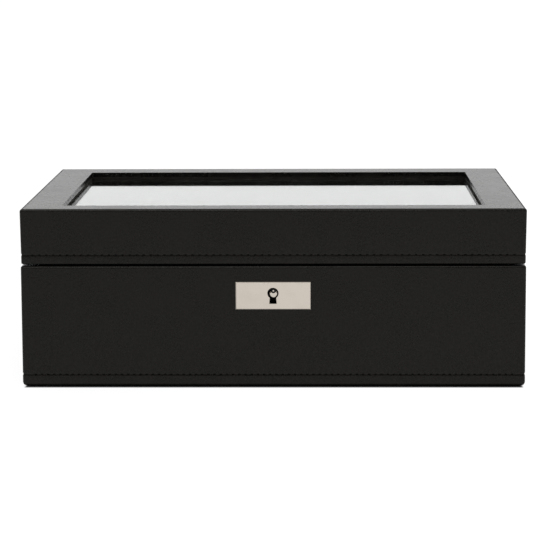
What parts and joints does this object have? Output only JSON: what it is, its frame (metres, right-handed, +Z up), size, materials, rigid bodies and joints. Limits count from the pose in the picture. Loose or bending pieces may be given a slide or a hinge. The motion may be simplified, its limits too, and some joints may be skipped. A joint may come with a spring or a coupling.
{
  "type": "watch box",
  "caption": "Leather-covered watch box with a hinged glazed lid, a front key lock, and suede compartments that hold lift-out cushions.",
  "frame": {"origin": "middle of the whole box's footprint, at the level of the felt that it stands on", "axes": "+Z up, the lock faces -Y, the hinges face +Y, +X is the box's right-hand side seen from the front"},
  "size_m": [0.305, 0.221, 0.109],
  "materials": {
    "leather": "fine-grained black leather, soft sheen",
    "fibreboard": "medium-density board dyed black through, hidden under the skins",
    "suede": "charcoal microsuede over card",
    "cushion_velvet": "soft charcoal suede over a foam roll",
    "felt": "black pressed felt",
    "glass": "clear polished float glass",
    "polished_nickel": "polished warm nickel plate",
    "zinc_steel": "pressed steel, zinc-plated and passivated black"
  },
  "bodies": {
    "base": {"base_floor_panel": "fibreboard", "base_front_panel": "fibreboard", "base_back_panel": "fibreboard", "base_left_panel": "fibreboard", "base_right_panel": "fibreboard", "base_leather_wrap": "leather", "base_underside_felt": "felt", "lining_front": "suede", "lining_back": "suede", "lining_left": "suede", "lining_right": "suede", "floor_lining": "suede", "long_divider": "suede", "cross_divider_1": "suede", "cross_divider_2": "suede", "cross_divider_3": "suede", "cross_divider_4": "suede", "lock_faceplate": "polished_nickel", "lock_case": "zinc_steel", "lock_post": "polished_nickel", "lock_screw_left": "zinc_steel", "lock_screw_right": "zinc_steel", "hinge_base_leaf_left": "polished_nickel", "hinge_pin_left": "zinc_steel", "hinge_base_screw_left_outer": "zinc_steel", "hinge_base_screw_left_inner": "zinc_steel", "hinge_base_leaf_right": "polished_nickel", "hinge_pin_right": "zinc_steel", "hinge_base_screw_right_outer": "zinc_steel", "hinge_base_screw_right_inner": "zinc_steel"},
    "lid": {"lid_front_panel": "fibreboard", "lid_back_panel": "fibreboard", "lid_left_panel": "fibreboard", "lid_right_panel": "fibreboard", "lid_top_panel": "fibreboard", "lid_side_leather": "leather", "lid_top_leather": "leather", "lid_glass": "glass", "glass_retainer": "suede", "lid_lining_band": "suede", "strike_plate": "zinc_steel", "strike_screw_left": "zinc_steel", "strike_screw_right": "zinc_steel", "hinge_lid_leaf_left": "polished_nickel", "hinge_lid_screw_left_outer": "zinc_steel", "hinge_lid_screw_left_inner": "zinc_steel", "hinge_lid_leaf_right": "polished_nickel", "hinge_lid_screw_right_outer": "zinc_steel", "hinge_lid_screw_right_inner": "zinc_steel"},
    "lock_bolt": {"lock_bolt": "zinc_steel"},
    "cushion_1": {"cushion_1": "cushion_velvet"},
    "cushion_2": {"cushion_2": "cushion_velvet"},
    "cushion_3": {"cushion_3": "cushion_velvet"},
    "cushion_4": {"cushion_4": "cushion_velvet"},
    "cushion_5": {"cushion_5": "cushion_velvet"},
    "cushion_6": {"cushion_6": "cushion_velvet"},
    "cushion_7": {"cushion_7": "cushion_velvet"},
    "cushion_8": {"cushion_8": "cushion_velvet"},
    "cushion_9": {"cushion_9": "cushion_velvet"},
    "cushion_10": {"cushion_10": "cushion_velvet"}
  },
  "joints": [
    {"name": "lid_hinge", "type": "hinge", "parent": "base", "child": "lid", "pos_m": [0, 0.108, 0.0753], "axis": [-1, 0, 0], "range_deg": [0, 95]},
    {"name": "bolt_slide", "type": "slide", "parent": "base", "child": "lock_bolt", "axis": [1, 0, 0], "range_m": [0, 0.004]},
    {"name": "cushion_1_lift", "type": "slide", "parent": "base", "child": "cushion_1", "axis": [0, 0, 1], "range_m": [0, 0.035]},
    {"name": "cushion_2_lift", "type": "slide", "parent": "base", "child": "cushion_2", "axis": [0, 0, 1], "range_m": [0, 0.035]},
    {"name": "cushion_3_lift", "type": "slide", "parent": "base", "child": "cushion_3", "axis": [0, 0, 1], "range_m": [0, 0.035]},
    {"name": "cushion_4_lift", "type": "slide", "parent": "base", "child": "cushion_4", "axis": [0, 0, 1], "range_m": [0, 0.035]},
    {"name": "cushion_5_lift", "type": "slide", "parent": "base", "child": "cushion_5", "axis": [0, 0, 1], "range_m": [0, 0.035]},
    {"name": "cushion_6_lift", "type": "slide", "parent": "base", "child": "cushion_6", "axis": [0, 0, 1], "range_m": [0, 0.035]},
    {"name": "cushion_7_lift", "type": "slide", "parent": "base", "child": "cushion_7", "axis": [0, 0, 1], "range_m": [0, 0.035]},
    {"name": "cushion_8_lift", "type": "slide", "parent": "base", "child": "cushion_8", "axis": [0, 0, 1], "range_m": [0, 0.035]},
    {"name": "cushion_9_lift", "type": "slide", "parent": "base", "child": "cushion_9", "axis": [0, 0, 1], "range_m": [0, 0.035]},
    {"name": "cushion_10_lift", "type": "slide", "parent": "base", "child": "cushion_10", "axis": [0, 0, 1], "range_m": [0, 0.035]}
  ]
}
